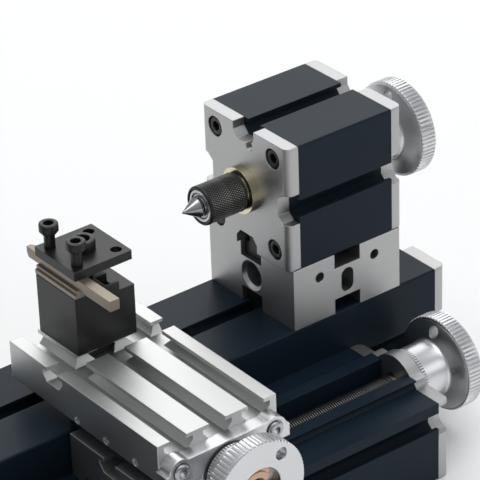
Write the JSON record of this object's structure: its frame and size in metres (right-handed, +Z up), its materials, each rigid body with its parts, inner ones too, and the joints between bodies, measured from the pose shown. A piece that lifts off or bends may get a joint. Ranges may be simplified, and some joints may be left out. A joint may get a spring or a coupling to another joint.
{
  "type": "mini metal lathe",
  "caption": "Small metal lathe of square T-slot profiles with headstock, three-jaw chuck, belt drive, carriage, cross slide, clamped tool and tailstock with live centre.",
  "frame": {"origin": "middle of the T-slot in the bed's underside, under the spindle's centre line", "axes": "+X along the spindle towards the tailstock, +Y away from the operator, +Z up"},
  "size_m": [0.372, 0.1773, 0.125],
  "materials": {
    "anodised": "satin anodised, blue black",
    "plate_aluminium": "matt bead blasted",
    "milled_aluminium": "finely milled",
    "wheel_aluminium": "satin turned",
    "steel": "turned",
    "bearing_steel": "ground",
    "chuck_steel": "turned and ground",
    "jaw_steel": "hardened and ground",
    "black_steel": "black oxide",
    "post_steel": "black oxide, satin",
    "brass": "turned",
    "tool_steel": "ground",
    "connector": "drawn",
    "belt_rubber": "matt",
    "black_plastic": "matt"
  },
  "bodies": {
    "bed": {"bed_extrusion": "anodised", "bed_end_plates": "plate_aluminium", "plate_screws": "black_steel", "profile_connectors": "connector", "head_raising_block": "plate_aluminium", "head_extrusion": "anodised", "head_plates": "plate_aluminium", "spindle_bearings": "bearing_steel", "motor_housing": "anodised", "motor_plates": "plate_aluminium", "motor": "steel", "drive_belt": "belt_rubber", "power_socket": "black_plastic", "switch_housing": "bearing_steel", "slide_body": "anodised", "slide_end_plates": "plate_aluminium", "z_bushes": "brass"},
    "spindle": {"spindle": "steel", "spindle_pulley": "wheel_aluminium", "chuck_body": "chuck_steel"},
    "scroll": {"chuck_scroll": "chuck_steel"},
    "jaw_1": {"chuck_jaw_1": "jaw_steel"},
    "jaw_2": {"chuck_jaw_2": "jaw_steel"},
    "jaw_3": {"chuck_jaw_3": "jaw_steel"},
    "motor_shaft": {"motor_shaft": "bearing_steel", "motor_pulley": "wheel_aluminium"},
    "switch_lever": {"switch_lever": "bearing_steel"},
    "z_wheel": {"z_leadscrew": "steel", "z_handwheel": "wheel_aluminium"},
    "carriage": {"carriage": "milled_aluminium", "carriage_nut": "brass", "carriage_gib": "steel", "cross_base": "anodised", "cross_nut": "brass"},
    "cross_table": {"cross_table": "milled_aluminium", "cross_gib": "steel", "cross_end_plate": "milled_aluminium", "cross_plate_screws": "bearing_steel", "post_bolt": "black_steel"},
    "cross_wheel": {"cross_leadscrew": "steel", "cross_handwheel": "wheel_aluminium"},
    "tool_holder": {"tool_post": "post_steel", "clamp_plate": "post_steel", "clamp_screws": "black_steel", "packing_strips": "tool_steel", "tool_bit": "tool_steel"},
    "tailstock": {"tail_raising_block": "plate_aluminium", "tail_connectors": "connector", "tail_extrusion": "anodised", "tail_plates": "plate_aluminium", "tail_plate_screws": "black_steel", "tail_bushes": "brass"},
    "quill": {"quill": "steel", "centre_sleeve": "black_steel", "centre_bearings": "bearing_steel", "sleeve_grub_screw": "black_steel"},
    "live_centre": {"centre_point": "steel"},
    "tail_wheel": {"tail_screw": "steel", "tail_handwheel": "wheel_aluminium"}
  },
  "joints": [
    {"name": "spindle_turn", "type": "hinge", "parent": "bed", "child": "spindle", "pos_m": [-0.1488, 0, 0.1], "axis": [1, 0, 0], "continuous": true},
    {"name": "motor_turn", "type": "hinge", "parent": "bed", "child": "motor_shaft", "pos_m": [-0.1755, 0.05, 0.1], "axis": [1, 0, 0], "continuous": true},
    {"name": "scroll_turn", "type": "hinge", "parent": "spindle", "child": "scroll", "pos_m": [-0.1155, 0, 0.1], "axis": [1, 0, 0], "range_deg": [0, 864]},
    {"name": "z_wheel_turn", "type": "hinge", "parent": "bed", "child": "z_wheel", "pos_m": [0.129, -0.05, 0.029], "axis": [1, 0, 0], "range_deg": [-25562, 10802]},
    {"name": "carriage_slide", "type": "slide", "parent": "bed", "child": "carriage", "axis": [1, 0, 0], "range_m": [-0.071, 0.03]},
    {"name": "cross_wheel_turn", "type": "hinge", "parent": "cross_table", "child": "cross_wheel", "pos_m": [0.027, -0.0792, 0.055], "axis": [0, 1, 0], "range_deg": [-13178, 1226]},
    {"name": "cross_slide", "type": "slide", "parent": "carriage", "child": "cross_table", "axis": [0, 1, 0], "range_m": [-0.0366, 0.0034]},
    {"name": "tool_post_swivel", "type": "hinge", "parent": "cross_table", "child": "tool_holder", "pos_m": [0.027, -0.0046, 0.0716], "axis": [0, 0, 1], "range_deg": [-45, 45]},
    {"name": "tailstock_slide", "type": "slide", "parent": "bed", "child": "tailstock", "axis": [1, 0, 0], "range_m": [-0.025, 0.01]},
    {"name": "tail_wheel_turn", "type": "hinge", "parent": "tailstock", "child": "tail_wheel", "pos_m": [0.1282, 0, 0.1], "axis": [1, 0, 0], "range_deg": [-9000, 0]},
    {"name": "quill_slide", "type": "slide", "parent": "tailstock", "child": "quill", "axis": [1, 0, 0], "range_m": [-0.025, 0]},
    {"name": "live_centre_turn", "type": "hinge", "parent": "quill", "child": "live_centre", "pos_m": [0.0887, 0, 0.1], "axis": [1, 0, 0], "continuous": true},
    {"name": "switch_toggle", "type": "hinge", "parent": "bed", "child": "switch_lever", "pos_m": [-0.0955, 0.043, 0.105], "axis": [0, -1, 0], "range_deg": [0, 24]},
    {"name": "jaw_1_slide", "type": "slide", "parent": "spindle", "child": "jaw_1", "axis": [0, 1, 0], "range_m": [0, 0.006]},
    {"name": "jaw_2_slide", "type": "slide", "parent": "spindle", "child": "jaw_2", "axis": [0, -0.5, 0.866], "range_m": [0, 0.006]},
    {"name": "jaw_3_slide", "type": "slide", "parent": "spindle", "child": "jaw_3", "axis": [0, -0.5, -0.866], "range_m": [0, 0.006]}
  ],
  "couplings": [
    {"joint": "motor_turn", "follows": "spindle_turn", "ratio": 2.5},
    {"joint": "z_wheel_turn", "follows": "carriage_slide", "rad_per_m": 6283.2},
    {"joint": "cross_wheel_turn", "follows": "cross_slide", "rad_per_m": 6283.2},
    {"joint": "quill_slide", "follows": "tail_wheel_turn", "m_per_rad": 0.00015915},
    {"joint": "jaw_1_slide", "follows": "scroll_turn", "m_per_rad": 0.00039789},
    {"joint": "jaw_2_slide", "follows": "scroll_turn", "m_per_rad": 0.00039789},
    {"joint": "jaw_3_slide", "follows": "scroll_turn", "m_per_rad": 0.00039789}
  ]
}
